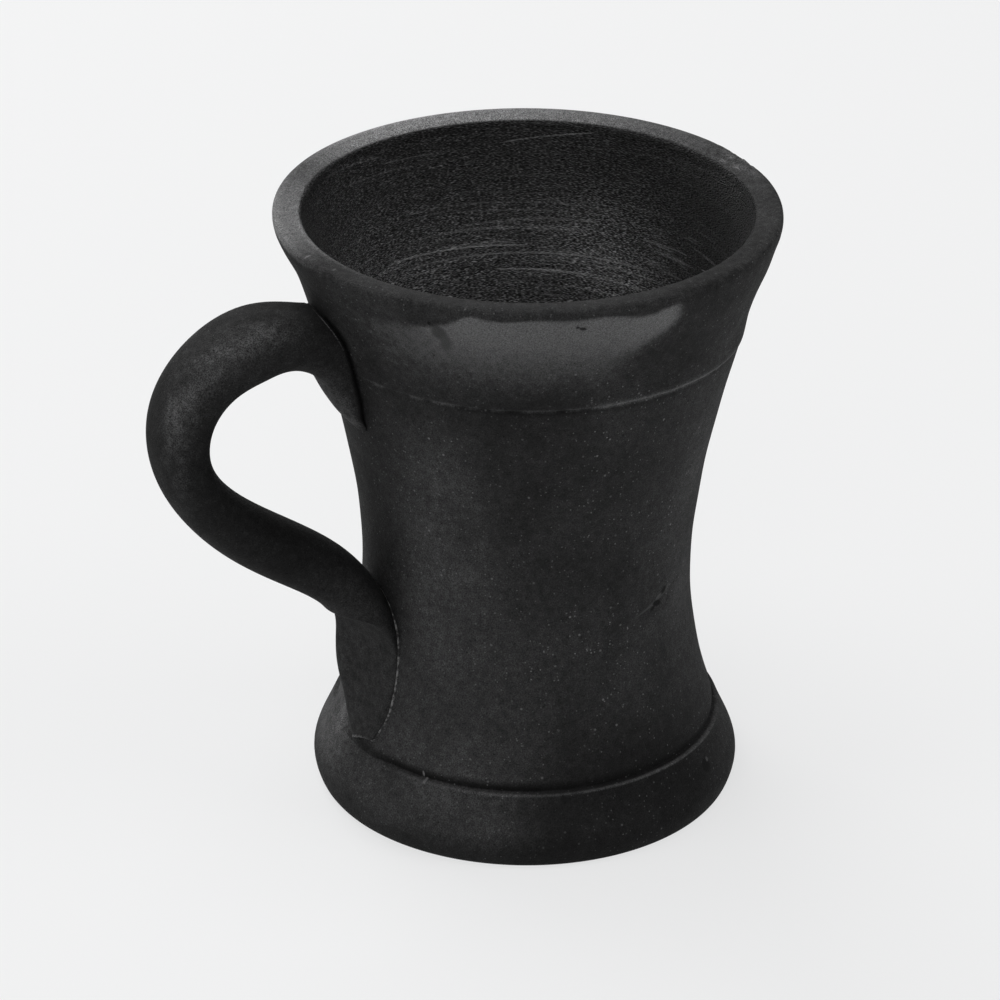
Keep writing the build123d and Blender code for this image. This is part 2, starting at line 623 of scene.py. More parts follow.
    def read(self, graph: Graph) -> ClayFace:
        """Reads the masks and lays the grains.

        Args:
            graph: The material's graph.

        Returns:
            What the parts of the finish share.
        """
        where = graph.node("TexCoord").outputs["Object"]
        mottle = graph.grain(where, self.mottle_mm, detail=4.0, roughness=0.6)
        broken = graph.plus(graph.mask("rubbed"), graph.sway(mottle, self.rub_ragged))
        return ClayFace(
            where=where,
            rise=graph.node("SeparateXYZ", {0: where}).outputs["Z"],
            inside=graph.mask("inside"),
            rubbed=graph.step(broken, 0.0, 1.0),
            worn=graph.mask("worn"),
            smoke=graph.mask("smoke"),
            mottle=mottle,
            fine=graph.grain(where, self.grain_mm, detail=1.5, roughness=0.6),
            comb=graph.grain(graph.flattened(where, self.comb_flat), self.comb_mm, detail=0.0),
        )

    def ring_marks(self, graph: Graph, face: ClayFace) -> Socket:
        """Gathers the ridges round the cup: a few clear ones and many faint ones.

        Args:
            graph: The material's graph.
            face: The masks and grains.

        Returns:
            How much of a ridge there is, 0 to 1.
        """
        far = math.radians(self.far_side)
        depth = graph.along(face.where, Vector((math.cos(far), math.sin(far), 0.0)))
        width = graph.along(face.where, Vector((-math.sin(far), math.cos(far), 0.0)))
        turn = graph.sum("ARCTAN2", width, depth)
        flat = graph.flattened(face.where, self.faint_ring_flat)
        faint = graph.step(graph.grain(flat, self.faint_ring_mm, detail=1.0), *self.faint_edge)
        total = graph.times(faint, graph.step(face.rise, *self.faint_zone))
        for arc in self.arcs:
            total = graph.sum("MAXIMUM", total, arc.share(graph, turn, face.rise))
        return graph.times(total, graph.step(face.comb, *self.ridge_break))

    def outer_tone(self, graph: Graph, face: ClayFace) -> Socket:
        """Mixes the grey of the outside, with its painted light and shade, painted sheen and painted
        highlights.

        Args:
            graph: The material's graph.
            face: The masks and grains.

        Returns:
            The grey level.
        """
        blotch = graph.grain(face.where, self.blotch_mm, detail=5.0, roughness=0.6)
        tone = graph.times(
            graph.level(blotch, *self.blotch_tone),
            graph.level(face.mottle, *self.mottle_tone),
            graph.level(face.fine, *self.grain_tone),
            face.smoke,
            self.usual,
        )
        # Painted sheen on burnished places.
        satin = graph.times(graph.level(face.fine, *self.satin_tone), self.rubbed_level)
        tone = graph.lerp(graph.times(face.rubbed, self.rub_cover), tone, satin)
        # Bare clay where worn, with painted highlights, in patches.
        patchy = graph.times(face.worn, graph.step(face.mottle, *self.wear_break))
        bare = graph.times(graph.level(face.fine, *self.bare_tone), self.worn_level)
        return graph.lerp(patchy, tone, bare)

    def cup_tone(self, graph: Graph, face: ClayFace, combed: Socket, ridge: Socket) -> Socket:
        """Mixes the grey of the cup, combed into fine ticks above its plain floor, paler deeper down by
        painted light, with painted highlights on the ridges.

        Args:
            graph: The material's graph.
            face: The masks and grains.
            combed: 1 where the cup is combed, 0 where it is plain.
            ridge: How much of a ridge there is.

        Returns:
            The grey level.
        """
        # Painted light, paler deeper in the cup, times the tone with its painted light and shade.
        painted_depth_light = graph.times(graph.step(face.rise, *self.painted_depth_light), face.smoke)
        ticks = graph.plus(graph.step(face.comb, *self.comb_slope), graph.step(face.comb, *self.comb_crest))
        cup = graph.times(graph.lerp(combed, 1.0, ticks), self.cup_level, painted_depth_light)
        # Painted highlight along the ridges' crests.
        return graph.lerp(graph.times(ridge, self.ridge_cover), cup, self.ridge_highlight_level)

    def flecked(self, graph: Graph, face: ClayFace, level: Socket, pit: Socket) -> Socket:
        """Adds the pits, the specks of grit and the marks of use.

        Args:
            graph: The material's graph.
            face: The masks and grains.
            level: The grey level so far.
            pit: How much of a pit there is.

        Returns:
            The grey level with all of them.
        """
        level = graph.lerp(graph.times(pit, self.pit_cover), level, self.pit_level)
        calm = graph.sum("SUBTRACT", 1.0, graph.times(face.inside, self.cup_calm))
        patches = graph.step(graph.grain(face.where, self.blotch_mm, detail=1.0), *self.grit_patches)
        grit = graph.times(calm, graph.times(patches, graph.mask("grit")))
        for specks in self.specks:
            level = graph.lerp(graph.times(specks.share(graph, face.where), grit), level, self.speck_level)
        for mark in self.marks:
            level = graph.lerp(mark.share(graph, face.where), level, mark.level)
        return level

    def gloss(self, graph: Graph, face: ClayFace) -> Socket:
        """Gives the roughness: matt clay, satin where it is rubbed.

        Args:
            graph: The material's graph.
            face: The masks and grains.

        Returns:
            The roughness.
        """
        outer = graph.lerp(face.rubbed, self.matt, self.satin)
        rough = graph.lerp(face.inside, outer, self.cup_rough)
        uneven = graph.grain(face.where, self.gloss_mm, detail=3.0)
        return graph.plus(rough, graph.sway(uneven, self.gloss_sway))

    def relief(self, graph: Graph, face: ClayFace, combed: Socket, ridge: Socket, pit: Socket) -> Socket:
        """Raises the clay's grain, coarse and combed round in the cup.

        Args:
            graph: The material's graph.
            face: The masks and grains.
            combed: 1 where the cup is combed, 0 where it is plain.
            ridge: How much of a ridge there is.
            pit: How much of a pit there is.

        Returns:
            Heights in millimetres.
        """
        height = graph.lerp(face.rubbed, self.grain_height, self.rubbed_height)
        outer = graph.plus(graph.times(face.fine, height), graph.times(pit, -self.pit_depth))
        comb = graph.times(face.comb, combed, self.comb_height)
        return graph.lerp(face.inside, outer, graph.plus(comb, graph.times(ridge, self.ridge_height)))


@dataclass(frozen=True)
class FiredSlip:
    """Slip that squeezed out of a joint and was fired: finer than the clay. Sizes in millimetres."""

    name: str
    level: float
    rough: float
    patch_mm: float = 0.9
    patch_edge: Pair = (0.42, 0.62)
    dark_share: float = 0.1
    rough_edge: Pair = (0.3, 0.7)
    rough_change: Pair = (0.12, -0.08)
    grain_mm: float = 0.35
    grain_height: float = 0.06
    shine: float = 0.4

    def make(self) -> Material:
        """Builds the material.

        Returns:
            The finished material.
        """
        material, graph = new_material(self.name)
        where = graph.node("TexCoord").outputs["Object"]
        patch = graph.grain(where, self.patch_mm, detail=3.0, roughness=0.6)
        share = graph.step(patch, *self.patch_edge)
        roughest, smoothest = (self.rough + change for change in self.rough_change)
        inputs = {
            "Base Color": graph.blend(share, grey(self.level * self.dark_share), grey(self.level)),
            "Roughness": graph.step(patch, *self.rough_edge, roughest, smoothest),
            "Normal": graph.bump(graph.times(graph.grain(where, self.grain_mm), self.grain_height)),
            "Specular IOR Level": self.shine,
        }
        graph.show(graph.node("BsdfPrincipled", inputs))
        return material


@dataclass(frozen=True)
class Patch:
    """A broad soft patch on the cup. Bearings in degrees, heights in millimetres."""

    bearing: float
    wide: float
    height: float
    tall: float
    gain: float

    def at(self, theta: Array, height: Array) -> Array:
        """Gives what the patch adds in each place."""
        return self.gain * facing(self.bearing, self.wide, theta) * bell(height - self.height, self.tall)


@dataclass(frozen=True)
class ThrowingRings:
    """The rings in the cup, which climb like a screw and deepen towards the floor. Sizes in millimetres."""

    pitch: float = 2.7
    depth: float = 0.16
    fine_share: float = 0.41
    fine_depth: float = 0.05
    fine_phase: float = 1.3
    sway: float = 0.5
    fade: Pair = (112, 92)
    uneven: float = 0.45

    def move(self, theta: Array, height: Array) -> Array:
        """Gives how far the rings move the cup's face.

        Args:
            theta: Bearings in radians.
            height: Heights in millimetres.

        Returns:
            Moves in millimetres.
        """
        climb = height + self.pitch * theta / math.tau + self.sway * Wander(11, 2, 22).at(theta, height)
        ridge = np.cos(math.tau * climb / self.pitch)
        second = np.cos(math.tau * climb / (self.pitch * self.fine_share) + self.fine_phase)
        deep = smooth(*self.fade, height) * vary(self.uneven, Wander(13, 3, 9).at(theta, height))
        return deep * (self.depth * ridge + self.fine_depth * second)


@dataclass(frozen=True)
class IncisedLine:
    """The line cut round the wall, broken into dashes and fainter by the handle. Sizes in millimetres.

    An edge is a painted highlight or shadow: what it adds to the clay's tone, its rise over the line and
    its width.
    """

    height: float = 94.7
    depth: float = 0.4
    half: float = 0.42
    uneven: float = 0.28
    handle_share: float = 0.55
    handle_zone: Pair = (16, 70)
    proud: float = 0.3
    proud_zone: tuple = ((-0.05, 0.3), (0.5, 6))
    proud_facing: Pair = (305, 80)
    dash_edge: Pair = (-0.1, 0.35)
    lit_zone: tuple = ((252, 276), (316, 330))
    # Painted light and shade along the cut: a strong painted highlight where it is lit on the right, a
    # paler painted highlight on its edge elsewhere, and a painted shadow below it.
    lit_edge: tuple = (5.0, 0.2, 0.7)
    pale_edge: tuple = (1.8, 0.05, 0.5)
    dark_edge: tuple = (-0.55, -0.5, 0.7)
    pale_clear: Pair = (12, 22)
    dark_clear: Pair = (20, 60)
    dash_share: float = 0.2

    def off_handle(self, theta: Array) -> Array:
        """Gives the angle from the handle in degrees."""
        return np.abs(turn_from(HANDLE_BEARING, theta))

    def move(self, theta: Array, height: Array) -> Array:
        """Gives how far the tool moved the wall: a cut with clay pushed up above it.

        Args:
            theta: Bearings in radians.
            height: Heights in millimetres.

        Returns:
            Moves in millimetres.
        """
        above = height - self.height
        depth = self.depth * vary(self.uneven, Wander(9, 22, 300).at(theta, height))
        depth = depth * vary(self.handle_share, smooth(*self.handle_zone, self.off_handle(theta)))
        proud = self.proud * span(*self.proud_zone, above) * facing(*self.proud_facing, theta)
        return proud - depth * bell(above, self.half)

    def tone(self, theta: Array, height: Array) -> Array:
        """Gives the painted highlight and shadow that the line's edges add to the clay's tone.

        Args:
            theta: Bearings in radians.
            height: Heights in millimetres.

        Returns:
            Tones to add.
        """
        above = height - self.height
        off = self.off_handle(theta)
        edges = (self.lit_edge, self.pale_edge, self.dark_edge)
        lit, pale, dark = (gain * bell(above - rise, wide) for gain, rise, wide in edges)
        dashes = smooth(*self.dash_edge, Wander(33, 60, 300).at(theta, height))
        right = span(*self.lit_zone, compass(theta))
        tone = lit * right * vary(self.dash_share, dashes)
        tone = tone + pale * (1 - right) * dashes * smooth(*self.pale_clear, off)
        return tone + dark * smooth(*self.dark_clear, off)


@dataclass(frozen=True)
class LipChip:
    """A rough chip broken out of the lip. Sizes in millimetres."""

    bearing: float = 1.5
    ring: float = LIP_RADIUS_MM
    outward: float = 0.2
    long: float = 9.0
    wide: float = 3.6
    crest: Pair = (116.6, 118)
    depth: float = 0.8
    rough: float = 0.5
    bare: float = 1.4
    bare_share: float = 0.2
    flake_share: float = 0.5

    def lost(self, theta: Array, radius: Array, height: Array) -> Array:
        """Gives how much of the chip each point lies in.

        Args:
            theta: Bearings in radians.
            radius: Radii in millimetres.
            height: Heights in millimetres.

        Returns:
            Shares from 0 to 1.
        """
        along = np.radians(turn_from(self.bearing, theta)) * self.ring
        across = radius - self.ring - self.outward
        return bell(along, self.long) * bell(across, self.wide) * smooth(*self.crest, height)

    def drop(self, lost: Array, theta: Array, radius: Array) -> Array:
        """Gives how far the rough floor of the chip lies below the lip."""
        return self.depth * lost * vary(self.rough, Wander(21, 160, 2).at(theta, radius))

    def wear(self, broken: Array, theta: Array, radius: Array) -> Array:
        """Gives how bare the broken clay is, in flakes."""
        flake = np.clip(Wander(23, 150, 1.1).at(theta, radius), 0.0, 1.0)
        return broken * (self.bare_share + self.flake_share * flake)


@dataclass(frozen=True)
class WallScar:
    """A dent scraped into the wall, with clay pushed up above it. Sizes in millimetres."""

    bearing: float = 296.0
    height: float = 47.0
    radius: float = 32.0
    lean: Pair = (0.97, 0.22)
    dent: Pair = (6, 2.2)
    heap: Pair = (9, 2)
    heap_rise: float = 1.4
    heap_share: float = 0.7
    depth: float = 0.42

    def move(self, theta: Array, height: Array) -> Array:
        """Gives how far the scrape moved the wall.

        Args:
            theta: Bearings in radians.
            height: Heights in millimetres.

        Returns:
            Moves in millimetres.
        """
        side = np.radians(turn_from(self.bearing, theta)) * self.radius
        rise = height - self.height
        main, slight = self.lean
        long, short = main * side + slight * rise, main * rise - slight * side
        dent = bell(long, self.dent[0]) * bell(short, self.dent[1])
        heap = bell(long, self.heap[0]) * bell(short - self.heap_rise, self.heap[1])
        return self.depth * (self.heap_share * heap - dent)


@dataclass(frozen=True)
class RubbedBand:
    """The band under the lip that was burnished to a satin, paler by a painted reflection of the floor.
    Bearings in degrees, sizes in millimetres.

    A dip or a softer stretch is its size and the two bearings between which it sets in.
    """

    top: float = 116.9
    top_sway: float = 0.5
    dips: tuple = ((0.6, 250, 274), (3.4, 231, 223))
    over: float = 0.4
    soft: float = 0.4
    softer: tuple = ((0.5, 238, 250), (2.2, 224, 214))
    foot: float = 96.0
    tall: float = 18.5
    fade: float = 1.1
    start: Pair = (188, 224)
    end: Pair = (277.5, 272.5)
    end_height: float = 106.0
    end_slant: float = 0.25
    end_sway: float = 2.0
    end_soft: float = 12.0
    end_soft_zone: Pair = (113, 105)
    thin: Patch = Patch(212, 16, 111, 6, -0.3)

    def share(self, theta: Array, height: Array, ragged: Array) -> Array:
        """Gives how burnished each point is, which also sets its painted sheen.

        Args:
            theta: Bearings in radians.
            height: Heights in millimetres.
            ragged: Unevenness of the band's upper edge.

        Returns:
            Shares from 0 to 1.
        """
        bearing = compass(theta)
        top = self.top + self.top_sway * ragged
        top = top - sum(drop * smooth(low, high, bearing) for drop, low, high in self.dips)
        soft = self.soft + sum(more * smooth(low, high, bearing) for more, low, high in self.softer)
        band = smooth(top + self.over, top - soft, height)
        band = band * np.clip((height - self.foot) / self.tall, 0.0, 1.0) ** self.fade
        uneven = bearing + self.end_sway * Wander(35, 2, 9).at(theta, height)
        uneven = uneven - self.end_slant * (height - self.end_height)
        last = self.end[1] - self.end_soft * smooth(*self.end_soft_zone, height)
        band = band * smooth(*self.start, bearing) * smooth(self.end[0], last, uneven)
        return band * (1 + self.thin.at(theta, height))


@dataclass(frozen=True)
class LipWearAndHighlight:
    """The top of the lip, worn and with a painted highlight, palest at the back. Bearings in degrees, sizes
    in millimetres.

    A gap or a thin or paler stretch is its share, bearing and width.
    """

    crest: Pair = (116.4, 117.6)
    inner_edge: Pair = (0.3, 0.8)
    back: Pair = (112, 130)
    back_end: Pair = (202, 166)
    front_bearing: float = 270.0
    gap: tuple = (0.5, 134, 24)
    thin: tuple = (0.12, 26, 34)
    outer_thin: tuple = (0.22, 126, 34)
    outer_half: Pair = (43.6, 45)
    rubbed_share: float = 0.95
    fade: float = 1.5
    bare: float = 0.9
    paler: tuple = (0.3, 84, 50)
    ragged_share: float = 0.12
    streak_share: float = 0.2
    glint_radius: float = 42.9
    glint_wide: float = 1.3
    glint_crest: Pair = (117, 117.8)
    glint_facing: Pair = (164, 36)

    def wear(
        self, theta: Array, radius: Array, height: Array, cup: Array, ragged: Array
    ) -> tuple[Array, Array]:
        """Gives how burnished the lip is, and how worn and lit by painted highlight.

        Args:
            theta: Bearings in radians.
            radius: Radii in millimetres.
            height: Heights in millimetres.
            cup: 1 for rows in the cup.
            ragged: Unevenness of the wear.

        Returns:
            How burnished and how worn or lit by painted highlight each point is.
        """
        bearing = compass(theta)
        lip = smooth(*self.crest, height) * (1 - smooth(*self.inner_edge, cup))
        back = facing(*self.back, theta)
        back = back * np.where(bearing < self.front_bearing, smooth(*self.back_end, bearing), 1.0)
        for share, middle, wide in (self.gap, self.thin):
            back = back * (1 - share * facing(middle, wide, theta))
        share, middle, wide = self.outer_thin
        back = back * (1 - share * facing(middle, wide, theta) * smooth(*self.outer_half, radius))
        share, middle, wide = self.paler
        bare = self.bare + share * facing(middle, wide, theta) + self.ragged_share * ragged
        bare = bare + self.streak_share * Wander(37, 3, 0.9).at(theta, radius)
        glint = bell(radius - self.glint_radius, self.glint_wide) * smooth(*self.glint_crest, height)
        glint = glint * facing(*self.glint_facing, theta) * (1 - cup)
        return lip * vary(self.rubbed_share, back), np.maximum(lip * back**self.fade * bare, glint)


@dataclass
class ThrownBody:
    """The wheel-thrown cup: foot band, waisted wall, rounded lip and combed inside.

    Sizes are in millimetres and bearings in degrees. A Run is a first and a last value and a number
    of rows. A flare move is its size, bearing and width.
    """

    columns: int = 312
    hub: float = 0.6
    base_edge: float = 39.7
    base_rows: int = 9
    base_dish: float = 0.5
    dish_edge: Pair = (30, 37.5)
    base_round: tuple = ((40.15, 0.06), (40.45, 0.25), (40.7, 0.6))
    foot: tuple = ((0, 40.5), (2.2, 41.3), (4.5, 41.6), (7.5, 40.8), (11, 39.2), (14.2, 37.85))
    foot_run: Run = (1.1, 13.2, 17)
    foot_blend: Pair = (12.4, 16.6)
    ledge: tuple = (
        (38.2, 13.3), (38.07, 13.64), (37.96, 13.82), (37.78, 13.9), (37.4, 13.95), (37.0, 13.99),
        (36.7, 14.03), (36.56, 14.14), (36.55, 14.4), (36.6, 14.9), (36.62, 15.5), (36.48, 16.3),
        (36.12, 17.2),
    )
    ledge_rows: int = 19
    ledge_wiped: tuple = ((-34, -20), (11, 20))
    wall_points: tuple = (
        (14.5, 37.25), (27.8, 33.6), (46.0, 31.75), (65.0, 33.2), (80.0, 36.2), (94.7, 39.95),
        (107.0, 43.5), (116.4, 47.22),
    )
    wall_slopes: Pair = (-0.38, 0.35)
    wall_ends: Pair = (17.9, 116)
    wall_rows: tuple = (68, 11, 20)
    line_clear: float = 1.6
    line_zone: float = 0.9
    line: IncisedLine = IncisedLine()
    lip_middle: Pair = (LIP_RADIUS_MM, 117.3)
    lip_half: Pair = (2.72, 1.45)
    lip_square: float = 3.0
    lip_sweep: Run = (-20, 186, 27)
    lip_inward: tuple = (0.15, 0.5, 0.85, 1.0, 1.0, 1.0, 1.0, 1.0)
    lip_fall: Pair = (0.6, 0.3)
    lip_outer: float = 47.3
    lip_wide: float = 5.4
    fall_zone: Pair = (115.5, 117.5)
    rim_tilt: float = 1.08
    rim_low: float = 243.0
    tilt_zone: Pair = (97, 117)
    inner_points: tuple = ((21.0, 27.4), (46.0, 26.6), (70.0, 29.4), (94.7, 35.0), (117.0, 42.05))
    inner_slopes: Pair = (-0.04, 0.35)
    inner_runs: tuple = ((116, 82, 86), (80.5, 22, 34))
    floor_height: float = 9.0
    floor_rows: int = 6
    floor_step: float = 2.0
    cove: float = 12.0
    cove_rows: int = 12
    rings: ThrowingRings = ThrowingRings()
    steady: Pair = (2, 20)
    wobble: float = 0.16
    ripple: float = 0.07
    bow: float = 0.32
    bow_bearing: float = 333.0
    bow_zone: tuple = ((40, 62), (109, 115))
    flare_zone: Pair = (108, 116)
    flare_moves: tuple = ((-0.34, 346, 40), (0.3, 132, 70))
    tail_hollow: Patch = Patch(156, 34, 20, 14, -0.25)
    chip: LipChip = LipChip()
    scar: WallScar = WallScar()
    outer_skin: float = 2.0
    band: RubbedBand = RubbedBand()
    lip_wear_and_highlight: LipWearAndHighlight = LipWearAndHighlight()
    collar: float = 0.07
    collar_zone: tuple = ((96, 99), (113, 117))
    collar_reach: tuple = ((186, 206), (272, 292))
    # Wiped patch beside the tail: wiped clay, its pale colour a painted highlight.
    wiped_facing: Pair = (160, 34)
    wiped_zone: tuple = ((4, 10), (18, 26))
    wiped_rub: float = 0.3
    wiped_wear_and_highlight: float = 0.12
    glare: Patch = Patch(170, 9, 15.5, 6, 0.4)
    grit: float = 0.4
    grittier: Patch = Patch(262, 70, 66, 56, 0.9)
    # Painted shade towards the base, where the foot curves under.
    foot_dark: float = 0.6
    foot_dark_zone: Pair = (8, 1.5)
    # Painted highlight on the lit right side of the ledge.
    shelf_pale: float = 2.6
    shelf_zone: tuple = ((13.6, 13.85), (14, 14.25))
    shelf_outer: Pair = (37.1, 37.6)
    shelf_facing: Pair = (285, 75)
    # Painted shade in the groove above the ledge, deeper on the left.
    groove_zone: tuple = ((13.9, 14.2), (14.6, 16.6))
    groove_dark: float = 0.45
    groove_darker: float = 0.4
    groove_left: Pair = (262, 238)
    darkest: float = 0.15
    # Painted light and shade on the outside: paler where the lamps from the left and right fall, darker in
    # the handle's shadow, on the foot's shaded right and across the upper wall.
    outer_patches: tuple = (
        Patch(216, 34, 56, 44, 0.9),
        Patch(213, 44, 8, 40, 0.75),
        Patch(284, 56, 12, 21, -0.72),
        Patch(240, 80, 88, 16, -0.15),
        Patch(190, 24, 60, 90, -0.45),
        Patch(314, 30, 36, 16, 0.6),
        Patch(306, 30, 72, 46, 0.6),
        Patch(290, 20, 108, 18, -0.42),
        Patch(313, 18, 107, 18, -0.5),
    )
    # Painted light and shade in the cup: darker on its right, paler on its left, with two painted glints.
    inner_patches: tuple = (
        Patch(345, 56, 100, 60, -0.75),
        Patch(40, 28, 98, 10, 0.9),
        Patch(28, 26, 90, 6, 0.8),
        Patch(135, 70, 95, 50, 1.3),
    )
    wall: Callable = field(init=False)
    inner: Callable = field(init=False)

    def __post_init__(self) -> None:
        """Prepares the two wall curves, radius against height."""
        self.wall = curve_through(*zip(*self.wall_points), self.wall_slopes)
        self.inner = curve_through(*zip(*self.inner_points), self.inner_slopes)

    def wall_at(self, height: Array) -> Array:
        """Gives the outer wall's radius, held at its ends below the ledge and above the lip."""
        return self.wall(np.clip(height, self.wall_points[0][0], self.wall_points[-1][0]))

    def outer_rows(self, height: Array) -> Array:
        """Lays out rows on the plain outside, without the ledge.

        Args:
            height: The rows' heights.

        Returns:
            Radius and height of each row.
        """
        foot_heights, foot_radii = zip(*self.foot)
        foot = curve_through(foot_heights, foot_radii)(np.minimum(height, foot_heights[-1]))
        share = smooth(*self.foot_blend, height)
        return np.stack([foot * (1 - share) + self.wall_at(height) * share, height], -1)

    def half_section(self) -> tuple[Array, Array, Array]:
        """Lays out the rows from the middle of the base, over the lip, to the middle of the floor.

        Returns:
            Rows with the ledge, rows with the ledge wiped away, and 1 for rows in the cup.
        """
        radii = np.linspace(self.hub, self.base_edge, self.base_rows)
        dish = self.base_dish * (1 - smooth(*self.dish_edge, radii))
        base = np.concatenate([np.stack([radii, dish], -1), self.base_round])
        foot = self.outer_rows(np.linspace(*self.foot_run))
        steps = np.linspace(0, len(self.ledge) - 1, self.ledge_rows)
        ledge = curve_through(range(len(self.ledge)), self.ledge)(steps)
        line, start, end = self.line.height, *self.wall_ends
        below, close, above = self.wall_rows
        wall = self.outer_rows(np.concatenate([
            np.linspace(start, line - self.line_clear, below),
            np.linspace(line - self.line_zone, line + self.line_zone, close),
            np.linspace(line + self.line_clear, end, above),
        ]))
        sweep = np.radians(np.linspace(*self.lip_sweep))
        ring = np.stack([np.cos(sweep), np.sin(sweep)], -1)
        ring = np.sign(ring) * np.abs(ring) ** (2 / self.lip_square)
        lip = np.array(self.lip_middle) + np.array(self.lip_half) * ring
        depths = np.concatenate([np.linspace(*run) for run in self.inner_runs])
        inner = np.stack([self.inner(depths), depths], -1)
        bend = np.radians(np.linspace(0, 90, self.cove_rows))
        corner = self.inner_points[0][1] - self.cove
        rise = self.floor_height + self.cove * (1 - np.sin(bend))
        cove = np.stack([corner + self.cove * np.cos(bend), rise], -1)
        radii = np.linspace(corner - self.floor_step, self.hub, self.floor_rows)
        floor = np.stack([radii, np.full(self.floor_rows, self.floor_height)], -1)
        rest = [wall, lip, inner, cove, floor]
        cut = np.concatenate([base, foot, ledge, *rest])
        wiped = np.concatenate([base, foot, self.outer_rows(ledge[:, 1]), *rest])
        in_cup = len(inner) + len(cove) + len(floor)
        out_of_cup = len(cut) - in_cup - len(self.lip_inward)
        return cut, wiped, np.concatenate([np.zeros(out_of_cup), self.lip_inward, np.ones(in_cup)])

    def hand(self, theta: Array, height: Array, cup: Array) -> Array:
        """Gives how far the potter's hands moved each point outward.

        Args:
            theta: Bearings in radians, one column each.
            height: Heights, one row each.
            cup: 1 for rows in the cup.

        Returns:
            Moves in millimetres, rows by columns.
        """
        move = self.wobble * Wander(3, 3, 60).at(theta, height)
        move = move + self.ripple * Wander(5, 6, 14).at(theta, height)
        move = move * smooth(*self.steady, height)
        lean = np.cos(np.radians(turn_from(self.bow_bearing, theta)))
        move = move + self.bow * span(*self.bow_zone, height) * lean
        move = move + self.rings.move(theta, height) * cup
        move = move + self.line.move(theta, height) * (cup == 0)
        near_lip = smooth(*self.flare_zone, height)
        for gain, bearing, wide in self.flare_moves:
            move = move + gain * near_lip * facing(bearing, wide, theta)
        return move + self.tail_hollow.at(theta, height)

    def ledge_share(self, theta: Array) -> Array:
        """Gives how much of the ledge is left: the potter wiped it away beside the handle's tail."""
        return 1.0 - span(*self.ledge_wiped, turn_from(HANDLE_BEARING, theta))

    def settle(self, theta: Array, radius: Array, height: Array) -> Array:
        """Tilts the rim and lets the top of the lip fall inward.

        Args:
            theta: Bearings in radians.
            radius: Radii in millimetres.
            height: Heights in millimetres.

        Returns:
            The settled heights.
        """
        lean = np.cos(np.radians(turn_from(self.rim_low, theta)))
        most, change = self.lip_fall
        fall = (most - change * lean) * np.clip((self.lip_outer - radius) / self.lip_wide, 0.0, 1.0)
        tilt = self.rim_tilt * lean * smooth(*self.tilt_zone, height)
        return height - tilt - fall * smooth(*self.fall_zone, height)

    def build(self) -> Thing:
        """Makes the cup's mesh and marks where it is burnished or worn, where sheen and highlights are
        painted, and what is inside.

        Returns:
            The cup.
        """
        cut, wiped, cup = self.half_section()
        theta, cup = bearings(self.columns)[None, :], cup[:, None]
        share = self.ledge_share(theta)[..., None]
        section = cut[:, None, :] * share + wiped[:, None, :] * (1 - share)
        radius, height = section[..., 0], section[..., 1]
        radius = radius + self.hand(theta, height, cup)
        lost = self.chip.lost(theta, radius, height)
        height = height - self.chip.drop(lost, theta, radius)
        outer = radius > self.wall_at(height) - self.outer_skin
        radius = radius + self.scar.move(theta, height) * outer
        level = self.settle(theta, radius, height)
        points = np.stack([radius * np.cos(theta), radius * np.sin(theta), level], -1).reshape(-1, 3)
        rows = len(cut)
        ends = np.array([[0, 0, points[:self.columns, 2].mean()], [0, 0, self.floor_height]])
        faces = tube_faces(rows, self.columns)
        faces += fan_faces(0, self.columns, rows * self.columns)
        faces += fan_faces((rows - 1) * self.columns, self.columns, rows * self.columns + 1)
        piece = mesh_object("mug_body", np.concatenate([points, ends]), faces)
        rubbed, worn = self.rubbed(theta, radius, height, cup)
        broken = np.clip(lost * self.chip.bare, 0, 1)
        masks = {
            "inside": (cup * np.ones_like(radius), (0, 1)),
            "rubbed": (rubbed * (1 - broken), (0, 0)),
            "worn": (np.maximum(worn, self.chip.wear(broken, theta, radius)), (0, 0)),
            "smoke": (self.smoke(theta, radius, height, cup), (1, 1)),
            "grit": (self.grit + self.grittier.at(theta, height), (0, 0)),
        }
        mark_vertices(piece, **{name: np.append(mask, hubs) for name, (mask, hubs) in masks.items()})
        return piece

    def rubbed(self, theta: Array, radius: Array, height: Array, cup: Array) -> tuple[Array, Array]:
        """Marks where hands and tools smoothed the clay, and where a sheen and highlights are painted.

        Args:
            theta: Bearings in radians.
            radius: Radii in millimetres.
            height: Heights in millimetres.
            cup: 1 for rows in the cup.

        Returns:
            How burnished each point is, which also sets a painted sheen, and how worn or lit by painted
            highlight.
        """
        ragged = Wander(31, 26, 12).at(theta, height)
        lip_rubbed, lip_worn = self.lip_wear_and_highlight.wear(theta, radius, height, cup, ragged)
        collar = self.collar * span(*self.collar_zone, height) * span(*self.collar_reach, compass(theta))
        wiped = facing(*self.wiped_facing, theta) * span(*self.wiped_zone, height)
        smoothed = [self.band.share(theta, height, ragged), collar, self.wiped_rub * wiped]
        rubbed = np.maximum(lip_rubbed, np.maximum.reduce(smoothed) * (1 - cup))
        # Wiped clay with a painted highlight, and painted glare on the foot by the tail.
        bared_and_glare = np.maximum(self.wiped_wear_and_highlight * wiped, self.glare.at(theta, height))
        return rubbed, np.maximum(lip_worn, bared_and_glare * (1 - cup))

    def smoke(self, theta: Array, radius: Array, height: Array, cup: Array) -> Array:
        """Gives the tone of the smoky black with painted light and shade on it: 1 is usual and more is
        paler.

        Args:
            theta: Bearings in radians.
            radius: Radii in millimetres.
            height: Heights in millimetres.
            cup: 1 for rows in the cup.

        Returns:
            Tones, rows by columns.
        """
